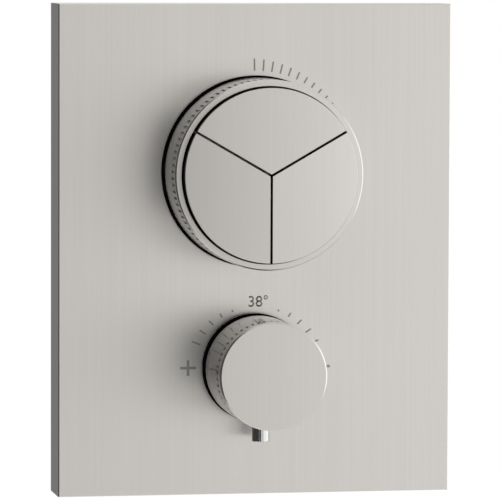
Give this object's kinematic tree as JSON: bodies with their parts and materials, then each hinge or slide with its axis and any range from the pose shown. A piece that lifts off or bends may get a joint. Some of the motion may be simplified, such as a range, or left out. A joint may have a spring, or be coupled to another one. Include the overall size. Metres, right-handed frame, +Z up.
{
  "type": "thermostatic shower valve",
  "caption": "Concealed shower valve: rectangular faceplate with a flow ring round push buttons, a temperature knob with a safety button, and the valve body behind.",
  "frame": {"origin": "centre of the four wall fixing holes, on the back of the wall bracket", "axes": "+Z up, +X to the right as seen from the room, +Y into the wall; the buttons and knob are on the -Y side"},
  "size_m": [0.162, 0.1264, 0.2],
  "materials": {
    "brushed_plate": "brushed vertically, satin",
    "brushed_dial": "brushed, satin",
    "polished_chrome": "polished",
    "black_plastic": "matt black moulding",
    "white_plastic": "natural acetal moulding",
    "grey_plastic": "glass-filled moulding",
    "brass": "cast and machined",
    "turned_brass": "turned",
    "zinc_steel": "zinc plated",
    "spring_steel": "drawn stainless wire",
    "ceramic": "ground alumina",
    "seal_rubber": "black nitrile",
    "foam": "closed-cell foam",
    "copper": "copper capsule",
    "gauze": "stainless gauze"
  },
  "bodies": {
    "housing": {"body_screws": "zinc_steel", "button_carrier": "white_plastic", "button_spring_lower_left": "spring_steel", "button_spring_lower_right": "spring_steel", "button_spring_top": "spring_steel", "carrier_screws": "zinc_steel", "cartridge_nut": "turned_brass", "cartridge_o_rings": "seal_rubber", "check_valves": "white_plastic", "clamp_plate": "turned_brass", "clamp_screws": "zinc_steel", "dial_bush": "black_plastic", "dial_bush_nut": "white_plastic", "faceplate": "brushed_plate", "fixed_ceramic_disc": "ceramic", "flow_cartridge": "turned_brass", "flow_cartridge_seal": "seal_rubber", "grub_screws": "zinc_steel", "inlet_filters": "gauze", "knob_bush": "black_plastic", "knob_bush_nut": "white_plastic", "outlet_cartridge_lower_left": "turned_brass", "outlet_cartridge_lower_right": "turned_brass", "outlet_cartridge_top": "turned_brass", "pillars": "zinc_steel", "plate_carrier": "zinc_steel", "return_spring": "spring_steel", "stop_ring": "grey_plastic", "thermostat_o_rings": "seal_rubber", "thermostatic_cartridge": "turned_brass", "valve_body": "brass", "wall_bracket": "zinc_steel", "wall_seal": "foam"},
    "flow_dial": {"flow_ring": "brushed_dial", "ring_driver": "grey_plastic", "driver_screw": "zinc_steel", "flow_spindle": "turned_brass", "moving_ceramic_disc": "ceramic"},
    "knob": {"temperature_knob": "brushed_dial", "knob_insert": "white_plastic", "insert_screw": "zinc_steel", "temperature_spindle": "turned_brass", "safety_spring": "spring_steel"},
    "pin": {"safety_button": "polished_chrome"},
    "regulator": {"regulating_nut": "white_plastic", "wax_element": "copper", "shuttle": "grey_plastic"},
    "button_top": {"button_top": "brushed_dial", "button_stem_top": "white_plastic", "outlet_disc_top": "seal_rubber"},
    "button_lower_left": {"button_lower_left": "brushed_dial", "button_stem_lower_left": "white_plastic", "outlet_disc_lower_left": "seal_rubber"},
    "button_lower_right": {"button_lower_right": "brushed_dial", "button_stem_lower_right": "white_plastic", "outlet_disc_lower_right": "seal_rubber"}
  },
  "joints": [
    {"name": "flow_ring_turn", "type": "hinge", "parent": "housing", "child": "flow_dial", "pos_m": [0, -0.105, 0.0319], "axis": [0, 1, 0], "range_deg": [0, 55]},
    {"name": "temperature_knob_turn", "type": "hinge", "parent": "housing", "child": "knob", "pos_m": [0, -0.105, -0.0481], "axis": [0, 1, 0], "range_deg": [-90, 90]},
    {"name": "safety_button_press", "type": "slide", "parent": "knob", "child": "pin", "axis": [0, 0, 1], "range_m": [0, 0.0025], "stiffness_N_per_m": 400, "springref_m": -0.004, "deforming": ["safety_spring"]},
    {"name": "regulator_travel", "type": "slide", "parent": "housing", "child": "regulator", "axis": [0, 1, 0], "range_m": [-0.0011, 0.0011], "deforming": ["return_spring"]},
    {"name": "button_top_press", "type": "slide", "parent": "housing", "child": "button_top", "axis": [0, 1, 0], "range_m": [0, 0.003], "stiffness_N_per_m": 1000, "springref_m": -0.005, "deforming": ["button_spring_top"]},
    {"name": "button_lower_left_press", "type": "slide", "parent": "housing", "child": "button_lower_left", "axis": [0, 1, 0], "range_m": [0, 0.003], "stiffness_N_per_m": 1000, "springref_m": -0.005, "deforming": ["button_spring_lower_left"]},
    {"name": "button_lower_right_press", "type": "slide", "parent": "housing", "child": "button_lower_right", "axis": [0, 1, 0], "range_m": [0, 0.003], "stiffness_N_per_m": 1000, "springref_m": -0.005, "deforming": ["button_spring_lower_right"]}
  ],
  "couplings": [
    {"joint": "regulator_travel", "follows": "temperature_knob_turn", "m_per_rad": 0.00063662}
  ]
}
